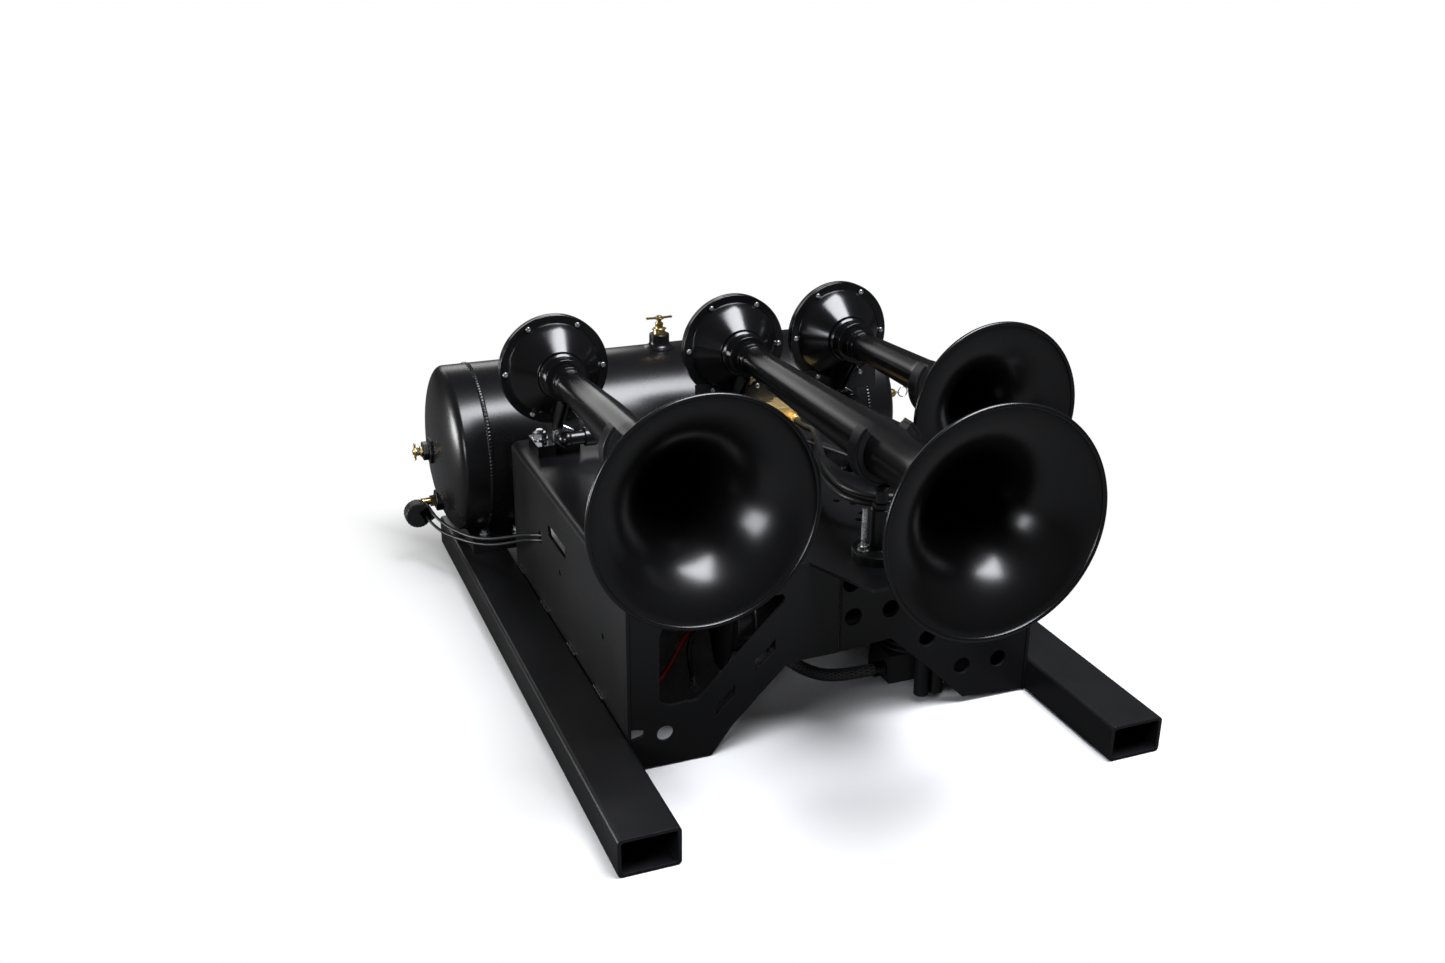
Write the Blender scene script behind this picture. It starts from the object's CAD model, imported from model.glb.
"""The looks of a train air horn: three black trumpets, a tank, a valve and a compressor on a welded skid.

Lengths are in metres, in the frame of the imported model: the bells point along -Y and Z is up.
"""

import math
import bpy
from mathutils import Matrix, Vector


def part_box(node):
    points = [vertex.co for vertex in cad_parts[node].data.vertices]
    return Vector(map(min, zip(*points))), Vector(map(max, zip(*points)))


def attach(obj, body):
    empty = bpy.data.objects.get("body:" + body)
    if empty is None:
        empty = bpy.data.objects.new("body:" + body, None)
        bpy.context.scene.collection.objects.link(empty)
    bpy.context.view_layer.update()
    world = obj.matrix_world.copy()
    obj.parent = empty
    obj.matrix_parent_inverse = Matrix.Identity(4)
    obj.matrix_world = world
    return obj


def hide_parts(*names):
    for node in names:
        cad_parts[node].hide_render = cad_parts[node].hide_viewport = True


bl_info = {
    "name": "Train air horn",
    "version": (1, 0, 0),
    "blender": (4, 5, 0),
    "location": "3D View > Sidebar > Air horn",
    "description": "Dresses a skid-mounted air horn kit in its real shapes and finishes",
    "category": "Object",
}

import bmesh
import bpy
from bpy.props import CollectionProperty, FloatProperty, FloatVectorProperty, IntProperty, PointerProperty
from bpy.props import StringProperty
from mathutils import Matrix, Vector

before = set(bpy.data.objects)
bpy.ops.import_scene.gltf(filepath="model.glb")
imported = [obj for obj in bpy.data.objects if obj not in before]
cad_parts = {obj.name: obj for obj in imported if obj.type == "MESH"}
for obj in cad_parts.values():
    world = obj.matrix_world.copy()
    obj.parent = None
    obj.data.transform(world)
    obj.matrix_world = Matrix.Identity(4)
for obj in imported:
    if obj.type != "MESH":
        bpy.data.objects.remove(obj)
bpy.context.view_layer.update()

# The front ends of the rails: stations are measured behind them
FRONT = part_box("left_rail")[0].y
DECK_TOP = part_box("bracket_blocks")[0].z
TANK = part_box("tank_shell")
TURN = math.tau
# The inlet fittings: place beside and below the horn's axis, lead to the elbow, arm and collar
FITTING_SIDE, FITTING_DROP = 0.0083, 0.1014
FITTING_LEAD, FITTING_ARM, FITTING_COLLAR = 0.018, 0.026, 0.024
# The nuts of M8 as radius over the corners, height and chamfer, and the thickness of a washer
NUT = (0.0075, 0.0057, 0.0006)
WASHER = 0.0016
# Corners nearer to each other than this are one
MERGE = 1e-6
ALONG_X = Matrix.Rotation(math.radians(90), 4, "Y")
ALONG_MINUS_X = Matrix.Rotation(math.radians(-90), 4, "Y")
ALONG_MINUS_Y = Matrix.Rotation(math.radians(90), 4, "X")

HORNS = {
    "left": dict(side=-0.2324, station=0.6794, height=0.3757, tilt=1.40, turn=0.10, reach=0.6094,
                 bell=0.1376, flare=0.385, clamp=0.3685, grip=0.0305, middle=0.246, middle_radius=0.028),
    "middle": dict(side=0.0510, station=0.6855, height=0.3787, tilt=1.59, turn=-1.05, reach=0.7714,
                   bell=0.1348, flare=0.577, clamp=0.5056, grip=0.033, middle=0.320, middle_radius=0.0276),
    "right": dict(side=0.2197, station=0.6705, height=0.3867, tilt=2.22, turn=0.17, reach=0.4541,
                  bell=0.1190, flare=0.326, clamp=0.3136, grip=0.028, middle=0.263, middle_radius=0.025),
}


def length_property(name, description, default):
    return FloatProperty(name=name, description=description, default=default, min=0.0, unit="LENGTH",
                         precision=5)


def colour_property(name, description, default):
    return FloatVectorProperty(name=name, description=description, default=default, size=3,
                               subtype="COLOR", min=0.0, max=1.0)


class HornSizes(bpy.types.PropertyGroup):
    """The places and sizes that differ from horn to horn."""

    name: StringProperty(name="Name", description="Which horn this is", default="middle")
    side: FloatProperty(name="Side", description="Place of the flange's centre along X", default=0.051,
                        unit="LENGTH")
    station: length_property("Station", "Place of the flange's centre behind the rails' front ends", 0.6855)
    height: length_property("Height", "Height of the flange's centre", 0.3787)
    tilt: FloatProperty(name="Tilt", description="Degrees that the bell looks up", default=1.59)
    turn: FloatProperty(name="Turn", description="Degrees that the bell looks to the side", default=-1.05)
    reach: length_property("Reach", "Length from the flange to the rim", 0.7714)
    bell: length_property("Bell", "Radius of the bell's rim", 0.1348)
    flare: length_property("Flare", "Where the bell starts to open", 0.577)
    clamp: length_property("Clamp", "Where the clamp grips the tube", 0.5056)
    grip: length_property("Grip", "Radius of the tube in the clamp", 0.033)
    middle: length_property("Middle", "Where the tube's taper changes", 0.320)
    middle_radius: length_property("Middle radius", "Radius of the tube there", 0.0276)


class SharedSizes(bpy.types.PropertyGroup):
    """Sizes that the three horns and their mounts share."""

    flange: length_property("Flange", "Radius of the flange", 0.081)
    flange_sheet: length_property("Flange thickness", "Thickness of the flange", 0.006)
    throat: length_property("Throat", "Radius of the tube at its thin end", 0.020)
    hub: length_property("Hub", "Radius of the hub on the front casting", 0.031)
    hub_reach: length_property("Hub reach", "How far the hub stands in front of the flange", 0.062)
    wall: length_property("Wall", "Thickness of the trumpets' wall", 0.0024)
    rim: length_property("Rim", "Radius of the rolled rim", 0.003)
    screw_circle: length_property("Screw circle", "Radius of the circle of rim screws", 0.073)
    clamp_radius: length_property("Clamp radius", "Outer radius of the clamp", 0.046)
    clamp_wall: length_property("Clamp wall", "Thickness of the clamp", 0.005)
    clamp_width: length_property("Clamp width", "Width of the clamp", 0.020)
    clamp_wrap: FloatProperty(name="Clamp wrap", description="Degrees that the clamp goes round",
                              default=276.0)
    stud: length_property("Stud", "Radius of the studs", 0.004)
    stud_spread: length_property("Stud spread", "Distance of a stud from its post", 0.022)
    thread_pitch: length_property("Thread pitch", "Pitch of the studs' thread", 0.00125)
    edge: length_property("Edge", "Rounding of cut and folded edges", 0.0005)
    facets: IntProperty(name="Facets", description="Faces round a large turned piece", default=128, min=24,
                        max=256)


class Finishes(bpy.types.PropertyGroup):
    """Colours that a user would change."""

    coat: colour_property("Powder coat", "Satin black of the welded steel", (0.0075, 0.0075, 0.0082))
    horn: colour_property("Horn paint", "Semi-gloss black of the trumpets", (0.0035, 0.0035, 0.0038))
    gloss: colour_property("Gloss black", "Glossy black of the housings", (0.0035, 0.0035, 0.0038))
    zinc: colour_property("Zinc", "Plated bolts, nuts and studs", (0.8, 0.81, 0.82))
    brass: colour_property("Brass", "Cocks and valve", (0.86, 0.66, 0.32))
    rubber: colour_property("Rubber", "Hoses and liners", (0.007, 0.007, 0.0075))
    red: colour_property("Red lead", "Insulation of the live power lead", (0.42, 0.006, 0.008))


# Making meshes

class Shape:
    """A piece in the making: each form is made about its own Z and then put in its place."""

    def __init__(self):
        self.mesh = bmesh.new()

    def put(self, form, *places):
        """Add a form, its place given by one matrix after another, the last one next to the form."""
        place = Matrix()
        for matrix in places:
            place = place @ matrix
        form.transform(place)
        passing = bpy.data.meshes.new("passing")
        form.to_mesh(passing)
        form.free()
        self.mesh.from_mesh(passing)
        bpy.data.meshes.remove(passing)
        return self


def at(x, y, z):
    return Matrix.Translation((x, y, z))


def spun(form, start, angle, steps, closed):
    """Turn the first line or face about Z, merge the corners that meet and point the faces outwards."""
    bmesh.ops.spin(form, geom=start, cent=(0, 0, 0), axis=(0, 0, 1), dvec=(0, 0, 0), angle=angle,
                   steps=steps, use_merge=closed, use_duplicate=False)
    bmesh.ops.remove_doubles(form, verts=form.verts, dist=MERGE)
    bmesh.ops.recalc_face_normals(form, faces=form.faces)
    return form


def turned(outline, steps=48):
    """A form turned about Z from an outline of radius and height."""
    form = bmesh.new()
    corners = [form.verts.new((radius, 0.0, height)) for radius, height in outline]
    lines = [form.edges.new(pair) for pair in zip(corners, corners[1:])]
    return spun(form, corners + lines, TURN, steps, True)


def arc(centre, radius, start, end, steps):
    """Points of a round stretch of an outline, from one angle to another in degrees."""
    angles = [math.radians(start + (end - start) * i / steps) for i in range(steps + 1)]
    return [(centre[0] + radius * math.cos(a), centre[1] + radius * math.sin(a)) for a in angles]


def rod(radius, length):
    """A plain round rod with sharp ends."""
    return turned([(0.0, 0.0), (radius, 0.0), (radius, length), (0.0, length)], 40)


def disc(radius, height, edge, steps=48, bore=0.0):
    """A round block with rounded edges, solid or bored."""
    outline = [(bore, 0.0), (radius - edge, 0.0)] + arc((radius - edge, edge), edge, -90, 0, 3)
    outline += arc((radius - edge, height - edge), edge, 0, 90, 3) + [(bore, height)]
    if bore:
        outline.append((bore, 0.0))
    return turned(outline, steps)


def bevel_edges(form, edges, width, segments):
    bmesh.ops.bevel(form, geom=edges, offset=width, offset_type="OFFSET", affect="EDGES", segments=segments,
                    profile=0.5, clamp_overlap=True, material=-1)
    return form


def bevelled(form, width, segments=2, above=30.0):
    """Round the edges whose faces meet at more than so many degrees."""
    sharp = [e for e in form.edges if e.is_manifold and e.calc_face_angle(0.0) > math.radians(above)]
    return bevel_edges(form, sharp, width, segments)


def bar(low, high, edge, segments=2):
    """A block between two corners, its edges rounded."""
    form = bmesh.new()
    bmesh.ops.create_cube(form, size=1.0)
    size, centre = Vector(high) - Vector(low), (Vector(high) + Vector(low)) / 2
    form.transform(Matrix.Translation(centre) @ Matrix.Diagonal((*size, 1.0)))
    return bevelled(form, edge, segments)


def hexagon(radius, height, chamfer, bore=0.0):
    """A hexagon head or nut whose corners are turned off, sunk a little round its bore if it has one."""
    rounding, flat, sink = radius * 0.04, radius * 0.87, radius * 0.1
    form = bmesh.new()
    made = bmesh.ops.create_cone(form, cap_ends=True, cap_tris=False, segments=6, radius1=radius,
                                 radius2=radius, depth=height)
    bmesh.ops.translate(form, verts=made["verts"], vec=(0, 0, height / 2))
    level = [e for e in form.edges if abs(e.verts[0].co.z - e.verts[1].co.z) < MERGE]
    bevel_edges(form, level, chamfer, 1)
    upright = [e for e in form.edges if abs(e.verts[0].co.z - e.verts[1].co.z) > height / 3]
    bevel_edges(form, upright, rounding, 2)
    if bore:
        for cap in [f for f in form.faces if abs(f.normal.z) > 0.99]:
            bmesh.ops.inset_region(form, faces=[cap], thickness=flat - bore, depth=0.0)
            bmesh.ops.translate(form, verts=cap.verts[:], vec=(0, 0, -math.copysign(sink, cap.normal.z)))
    return form


def ball(radius, steps):
    form = bmesh.new()
    bmesh.ops.create_uvsphere(form, u_segments=steps, v_segments=steps // 2, radius=radius)
    return form


def thread(radius, length, pitch):
    """A threaded rod: its ridges follow each other closely enough to read as a thread."""
    depth = pitch * 0.55
    outline = [(0.0, 0.0), (radius - depth, 0.0)]
    for i in range(int(length / pitch)):
        z = i * pitch
        outline += [(radius - depth, z + pitch * 0.12), (radius, z + pitch * 0.44),
                    (radius, z + pitch * 0.56), (radius - depth, z + pitch * 0.88)]
    outline += [(radius - depth, length - pitch * 0.1), (radius - depth * 1.6, length), (0.0, length)]
    return turned(outline, 20)


def softened(node, width):
    """A copy of a CAD node's mesh, merged and with its sharp edges rounded."""
    flat, sharp = math.radians(0.6), 38.0
    form = bmesh.new()
    form.from_mesh(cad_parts[node].data)
    bmesh.ops.remove_doubles(form, verts=form.verts, dist=MERGE * 2)
    bmesh.ops.dissolve_limit(form, angle_limit=flat, use_dissolve_boundaries=False, verts=form.verts,
                             edges=form.edges)
    return bevelled(form, width, above=sharp)


def measure(node):
    """The middle and the size of a node's box."""
    low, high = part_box(node)
    return (low + high) / 2, high - low


def finish(name, shape, material, stands_for=(), *, body="skid", crease=32.0, weighted=True):
    """Make the object, smooth between its creases, and tie it to its body and to the nodes it stands for."""
    form = shape.mesh
    for face in form.faces:
        face.smooth = True
    for edge in form.edges:
        if len(edge.link_faces) == 2 and edge.calc_face_angle(0.0) > math.radians(crease):
            edge.smooth = False
    mesh = bpy.data.meshes.new(name)
    form.to_mesh(mesh)
    form.free()
    mesh.materials.append(material)
    thing = bpy.data.objects.new(name, mesh)
    bpy.context.scene.collection.objects.link(thing)
    if weighted:
        evener = thing.modifiers.new("Even normals", "WEIGHTED_NORMAL")
        evener.keep_sharp = True
    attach(thing, body)
    if stands_for:
        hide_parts(*stands_for)
    return thing


def dress(node, material):
    """Give a CAD node that stays in view its finish."""
    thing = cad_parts[node]
    thing.data.materials.clear()
    thing.data.materials.append(material)


# Finishes

def group_tree(name, inputs, outputs):
    """A new shader node group with its sockets, its input node and its output node."""
    tree = bpy.data.node_groups.new(name, "ShaderNodeTree")
    for label, default in inputs:
        socket = tree.interface.new_socket(label, in_out="INPUT", socket_type="NodeSocketFloat")
        socket.default_value = default
    for label in outputs:
        tree.interface.new_socket(label, in_out="OUTPUT", socket_type="NodeSocketFloat")
    return tree, tree.nodes.new("NodeGroupInput"), tree.nodes.new("NodeGroupOutput")


def feed(tree, socket, value):
    """Link a node's output to a socket, or set the socket to a plain value."""
    if hasattr(value, "links"):
        tree.links.new(value, socket)
    else:
        socket.default_value = value


def math_node(tree, operation, *values):
    node = tree.nodes.new("ShaderNodeMath")
    node.operation = operation
    for socket, value in zip(node.inputs, values):
        feed(tree, socket, value)
    return node.outputs[0]


def noise(tree, vector, scale, detail, roughness=0.5):
    node = tree.nodes.new("ShaderNodeTexNoise")
    tree.links.new(vector, node.inputs["Vector"])
    feed(tree, node.inputs["Scale"], scale)
    node.inputs["Detail"].default_value = detail
    node.inputs["Roughness"].default_value = roughness
    return node.outputs["Fac"]


def ramp(tree, value, low, high):
    """Stretch a value so that low becomes 0 and high becomes 1."""
    node = tree.nodes.new("ShaderNodeMapRange")
    node.clamp = True
    tree.links.new(value, node.inputs["Value"])
    node.inputs["From Min"].default_value = low
    node.inputs["From Max"].default_value = high
    return node.outputs["Result"]


def grain_group():
    """Orange peel and fine grain of sprayed or powdered coats, as a height."""
    inputs = [("Peel scale", 260.0), ("Grain scale", 1500.0), ("Grain share", 0.4)]
    tree, inside, outside = group_tree("Coat grain", inputs, ["Height"])
    where = tree.nodes.new("ShaderNodeTexCoord").outputs["Object"]
    peel = noise(tree, where, inside.outputs["Peel scale"], 1.0)
    grain = noise(tree, where, inside.outputs["Grain scale"], 2.0, 0.6)
    weighed = math_node(tree, "MULTIPLY", grain, inside.outputs["Grain share"])
    tree.links.new(math_node(tree, "ADD", peel, weighed), outside.inputs["Height"])
    return tree


def wear_group():
    """Dust specks, faint smears and handling marks, as masks."""
    tree, inside, outside = group_tree("Dust and smears", [("Specks", 0.5), ("Smear scale", 9.0)],
                                       ["Specks", "Smears"])
    where = tree.nodes.new("ShaderNodeTexCoord").outputs["Object"]
    cells = tree.nodes.new("ShaderNodeTexVoronoi")
    tree.links.new(where, cells.inputs["Vector"])
    cells.inputs["Scale"].default_value = 120.0
    near = ramp(tree, cells.outputs["Distance"], 0.09, 0.03)
    chance = tree.nodes.new("ShaderNodeSeparateColor")
    tree.links.new(cells.outputs["Color"], chance.inputs[0])
    rare = ramp(tree, chance.outputs[0], 0.94, 0.97)
    specks = math_node(tree, "MULTIPLY", math_node(tree, "MULTIPLY", near, rare), inside.outputs["Specks"])
    tree.links.new(specks, outside.inputs["Specks"])
    smears = noise(tree, where, inside.outputs["Smear scale"], 4.0, 0.6)
    tree.links.new(ramp(tree, smears, 0.3, 0.75), outside.inputs["Smears"])
    return tree


def tool_line_group():
    """Fine lines left by turning or drawing, across a chosen stretch of the object's axes, and patches."""
    inputs = [("Scale", 400.0), ("Stretch X", 1.0), ("Stretch Y", 1.0), ("Stretch Z", 8.0)]
    tree, inside, outside = group_tree("Tool lines", inputs, ["Height", "Patches"])
    where = tree.nodes.new("ShaderNodeTexCoord").outputs["Object"]
    stretch = tree.nodes.new("ShaderNodeCombineXYZ")
    for i, axis in enumerate("XYZ"):
        tree.links.new(inside.outputs["Stretch " + axis], stretch.inputs[i])
    scaled = tree.nodes.new("ShaderNodeVectorMath")
    scaled.operation = "MULTIPLY"
    tree.links.new(where, scaled.inputs[0])
    tree.links.new(stretch.outputs[0], scaled.inputs[1])
    lines = noise(tree, scaled.outputs[0], inside.outputs["Scale"], 3.0, 0.6)
    tree.links.new(lines, outside.inputs["Height"])
    tree.links.new(noise(tree, where, 55.0, 3.0, 0.55), outside.inputs["Patches"])
    return tree


def placed(tree, shared, **values):
    """Put a shared group into a material with its own values."""
    node = tree.nodes.new("ShaderNodeGroup")
    node.node_tree = shared
    for label, value in values.items():
        node.inputs[label.replace("_", " ")].default_value = value
    return node


def mixed_colour(tree, factor, first, second):
    """A colour between two others, each of them a node's output or plain red, green and blue."""
    node = tree.nodes.new("ShaderNodeMix")
    node.data_type = "RGBA"
    tree.links.new(factor, node.inputs["Factor"])
    for socket, value in ((node.inputs[6], first), (node.inputs[7], second)):
        feed(tree, socket, value if hasattr(value, "links") else (*value, 1.0))
    return node.outputs[2]


def between(tree, factor, low, high):
    """A value that runs from low to high as the factor goes from 0 to 1."""
    node = tree.nodes.new("ShaderNodeMapRange")
    tree.links.new(factor, node.inputs["Value"])
    node.inputs["To Min"].default_value = low
    node.inputs["To Max"].default_value = high
    return node.outputs["Result"]


def bump(tree, height, strength, distance):
    node = tree.nodes.new("ShaderNodeBump")
    node.inputs["Strength"].default_value = strength
    node.inputs["Distance"].default_value = distance
    tree.links.new(height, node.inputs["Height"])
    return node.outputs["Normal"]


def new_material(name):
    material = bpy.data.materials.new(name)
    material.use_nodes = True
    tree = material.node_tree
    return material, tree, tree.nodes["Principled BSDF"]


def lighter(colour, gain, lift=0.0):
    return tuple(min(1.0, c * gain + lift) for c in colour)


def coat_material(name, shared, colour, rough, peel, depth, dust):
    """A sprayed or powdered coat: grain, smears in the gloss and a little dust."""
    dust_colour, fine, share, strength = (0.16, 0.155, 0.15), 5.5, 0.35, 0.35
    material, tree, surface = new_material(name)
    grain = placed(tree, shared["grain"], Peel_scale=peel, Grain_scale=peel * fine, Grain_share=share)
    wear = placed(tree, shared["wear"], Specks=dust, Smear_scale=8.0)
    base = mixed_colour(tree, wear.outputs["Smears"], lighter(colour, 0.85), lighter(colour, 1.25))
    dusted = mixed_colour(tree, wear.outputs["Specks"], base, dust_colour)
    tree.links.new(dusted, surface.inputs["Base Color"])
    tree.links.new(between(tree, wear.outputs["Smears"], *rough), surface.inputs["Roughness"])
    tree.links.new(bump(tree, grain.outputs["Height"], strength, depth), surface.inputs["Normal"])
    return material


def metal_material(name, shared, colour, dark, rough, stretch):
    """Plated or machined metal with tool lines and darker patches."""
    scale, strength, depth = 420.0, 0.3, 0.00006
    material, tree, surface = new_material(name)
    lines = placed(tree, shared["lines"], Scale=scale, Stretch_X=stretch[0], Stretch_Y=stretch[1],
                   Stretch_Z=stretch[2])
    patches = ramp(tree, lines.outputs["Patches"], 0.38, 0.68)
    tree.links.new(mixed_colour(tree, patches, colour, dark), surface.inputs["Base Color"])
    surface.inputs["Metallic"].default_value = 1.0
    tree.links.new(between(tree, lines.outputs["Height"], *rough), surface.inputs["Roughness"])
    tree.links.new(bump(tree, lines.outputs["Height"], strength, depth), surface.inputs["Normal"])
    return material


def rubber_material(name, shared, colour, rough):
    """Extruded rubber or plastic skin, slightly chalky."""
    strength, depth = 0.2, 0.0001
    material, tree, surface = new_material(name)
    wear = placed(tree, shared["wear"], Specks=0.35, Smear_scale=26.0)
    grain = placed(tree, shared["grain"], Peel_scale=700.0, Grain_scale=3000.0, Grain_share=0.6)
    chalky = mixed_colour(tree, wear.outputs["Smears"], colour, lighter(colour, 1.5, 0.002))
    tree.links.new(chalky, surface.inputs["Base Color"])
    tree.links.new(between(tree, wear.outputs["Smears"], *rough), surface.inputs["Roughness"])
    tree.links.new(bump(tree, grain.outputs["Height"], strength, depth), surface.inputs["Normal"])
    return material


def braid_material(name):
    """Black braid wound both ways round a hose, laid out on the hose's own map."""
    turns, strands, gap, wire = 260.0, 12.0, (0.006, 0.006, 0.006), (0.07, 0.07, 0.07)
    material, tree, surface = new_material(name)
    where = tree.nodes.new("ShaderNodeTexCoord").outputs["UV"]
    split = tree.nodes.new("ShaderNodeSeparateXYZ")
    tree.links.new(where, split.inputs[0])
    along = math_node(tree, "MULTIPLY", split.outputs[0], turns)
    around = math_node(tree, "MULTIPLY", split.outputs[1], strands * TURN)
    one = math_node(tree, "SINE", math_node(tree, "ADD", along, around))
    other = math_node(tree, "SINE", math_node(tree, "SUBTRACT", along, around))
    weave = math_node(tree, "MAXIMUM", one, other)
    lit = ramp(tree, weave, -0.2, 0.9)
    tree.links.new(mixed_colour(tree, lit, gap, wire), surface.inputs["Base Color"])
    surface.inputs["Roughness"].default_value = 0.42
    tree.links.new(bump(tree, weave, 0.6, 0.0004), surface.inputs["Normal"])
    return material


MATERIALS = {}


def make_materials(colours):
    """One finish for each kind of surface."""
    shared = {"grain": grain_group(), "wear": wear_group(), "lines": tool_line_group()}
    coat, horn, gloss, zinc, brass, rubber, red = (tuple(value) for value in (
        colours.coat, colours.horn, colours.gloss, colours.zinc, colours.brass, colours.rubber, colours.red))
    # Key, name, colour, least and greatest roughness, scale and depth of the peel, dust
    for key, name, colour, rough, peel, depth, dust in (
            ("coat", "Powder coat", coat, (0.31, 0.37), 420.0, 0.00008, 0.4),
            ("tank", "Tank paint", lighter(coat, 0.7), (0.26, 0.29), 240.0, 0.00001, 0.2),
            ("horn", "Horn paint", horn, (0.235, 0.255), 300.0, 0.000004, 0.1),
            ("gloss", "Housing gloss", gloss, (0.16, 0.19), 180.0, 0.000005, 0.2),
            ("plastic", "Moulded black", lighter(coat, 1.1), (0.42, 0.55), 700.0, 0.0001, 0.2),
            ("cast", "Painted casting", lighter(coat, 1.6), (0.4, 0.5), 900.0, 0.0004, 0.2)):
        MATERIALS[key] = coat_material(name, shared, colour, rough, peel, depth, dust)
    # Key, name, colour, colour of the patches, least and greatest roughness, stretch of the tool lines
    for key, name, colour, dark, rough, stretch in (
            ("zinc", "Zinc plate", zinc, (0.5, 0.52, 0.53), (0.2, 0.34), (1, 1, 6)),
            ("steel", "Machined steel", (0.5, 0.5, 0.51), (0.36, 0.36, 0.36), (0.25, 0.4), (6, 1, 1)),
            ("brass", "Brass", brass, lighter(brass, 0.55), (0.2, 0.36), (1, 1, 7)),
            ("forged", "Forged brass", lighter(brass, 1.15), brass, (0.42, 0.6), (1, 1, 1))):
        MATERIALS[key] = metal_material(name, shared, colour, dark, rough, stretch)
    for key, name, colour, rough in (
            ("rubber", "Hose rubber", rubber, (0.38, 0.5)),
            ("lead", "Lead insulation", lighter(rubber, 1.3), (0.3, 0.4)),
            ("red", "Red insulation", red, (0.3, 0.4))):
        MATERIALS[key] = rubber_material(name, shared, colour, rough)
    MATERIALS["braid"] = braid_material("Wire braid")


# Skid

def weld_line(shape, start, end, radius):
    """A hand-laid bead: overlapping beads along a line."""
    pitch = 0.0034
    start, end = Vector(start), Vector(end)
    count = max(2, int((end - start).length / pitch))
    for i in range(count + 1):
        wobble = 1.0 + 0.14 * math.sin(i * 2.3) + 0.08 * math.sin(i * 5.1)
        shape.put(ball(radius * wobble, 10), at(*start.lerp(end, i / count)))


def make_skid(sizes):
    """Coated rails, deck, truss plates, feet and hangers, and the beads that join them."""
    truss_bead, rail_bead, half_run = 0.0021, 0.0026, 0.018
    coat, cut = MATERIALS["coat"], sizes.edge
    for node, width in (("left_rail", cut), ("right_rail", cut), ("saddle_deck", cut),
                        ("left_truss_plate", cut), ("right_truss_plate", cut), ("tank_feet", cut * 1.6),
                        ("compressor_hangers", cut * 1.2)):
        finish(node + "_coated", Shape().put(softened(node, width)), coat, [node])
    low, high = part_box("left_truss_plate")
    front, rear = low.y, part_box("saddle_deck")[1].y
    welds = Shape()
    weld_line(welds, (high.x, front, high.z - 0.016), (high.x, front, high.z * 0.48), truss_bead)
    for rail, inner_corner in (("left_rail", 1), ("right_rail", 0)):
        inner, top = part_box(rail)[inner_corner].x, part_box(rail)[1].z
        for share in (0.22, 0.45, 0.7, 0.95):
            y = front + (rear - front) * share
            weld_line(welds, (inner, y - half_run, top), (inner, y + half_run, top), rail_bead)
    finish("weld_beads", welds, coat)


# Tank

# Half the width of a ring weld, which is also how far a seam lies inside the shell's end
BEAD = 0.0045
# The straight sleeve of a tank's end, and the depth of its dish
SLEEVE, DISH = 0.036, 0.033


def tank_weld(radius, rise, width, steps):
    """The ring bead where an end meets the shell, its ripples left by the torch."""
    ripples, lean, slow_wave, fast_wave = 150, 2.4, 17, 41
    foot = radius - rise * 0.4
    outline = [(foot, -width / 2)]
    outline += [(radius + rise * math.sin(math.pi * share), width * (share - 0.5))
                for share in (0.12, 0.3, 0.5, 0.7, 0.88)]
    outline.append((foot, width / 2))
    form = turned(outline, steps)
    for vert in form.verts:
        across = math.hypot(vert.co.x, vert.co.y)
        if across > radius:
            angle = math.atan2(vert.co.y, vert.co.x)
            # The shares add up to 1, so that the bead rises no further than the CAD's
            swell = 0.6 + 0.28 * math.sin(angle * ripples + vert.co.z / width * lean)
            swell += 0.07 * math.sin(angle * slow_wave) + 0.05 * math.sin(angle * fast_wave)
            factor = (radius + (across - radius) * swell) / across
            vert.co.x *= factor
            vert.co.y *= factor
    return form


def bung(neck, height, foot, foot_height):
    """A port with its weld fillet at the foot."""
    edge, mouth = neck * 0.08, neck * 0.6
    outline = [(foot, -foot_height * 2), (foot, 0.0)]
    for turn in (20, 40, 60, 80, 90):
        fall = 1 - math.sin(math.radians(turn))
        lift = 1 - math.cos(math.radians(turn))
        outline.append((neck + (foot - neck) * fall ** 1.5, foot_height * lift ** 0.8))
    outline += [(neck, height - edge)] + arc((neck - edge, height - edge), edge, 0, 90, 3)
    outline += [(neck * 0.62, height), (mouth, height - edge), (0.0, height - edge)]
    return turned(outline)


def tank_shell(radius, y, z, left, right, steps):
    """The rolled shell, its top port, the port of the compressor's hose and that of the supply pipe."""
    inside, margin, supply_depth = radius * 0.9, 0.02, 0.0295
    outline = [(radius, left), (radius, left + margin), (radius, right - margin), (radius, right),
               (inside, right), (inside, left), (radius, left)]
    shell = Shape().put(turned(outline, steps), at(0, y, z), ALONG_X)
    cock_x, cock_bottom = measure("top_cock_body")[0].x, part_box("top_cock_body")[0].z
    shell.put(bung(0.0165, cock_bottom - z - radius, 0.025, 0.011), at(cock_x, y, z + radius))
    hose_x = COMPRESSOR_HOSE[-1][0]
    shell.put(bung(0.016, 0.014, 0.020, 0.005), at(hose_x, y - radius, z), ALONG_MINUS_Y)
    pipe, pipe_end = measure("supply_pipe")[0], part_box("supply_pipe")[1].y
    return shell.put(disc(0.014, 0.03, 0.001), at(pipe.x, pipe_end + supply_depth, pipe.z), ALONG_MINUS_Y)


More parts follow.
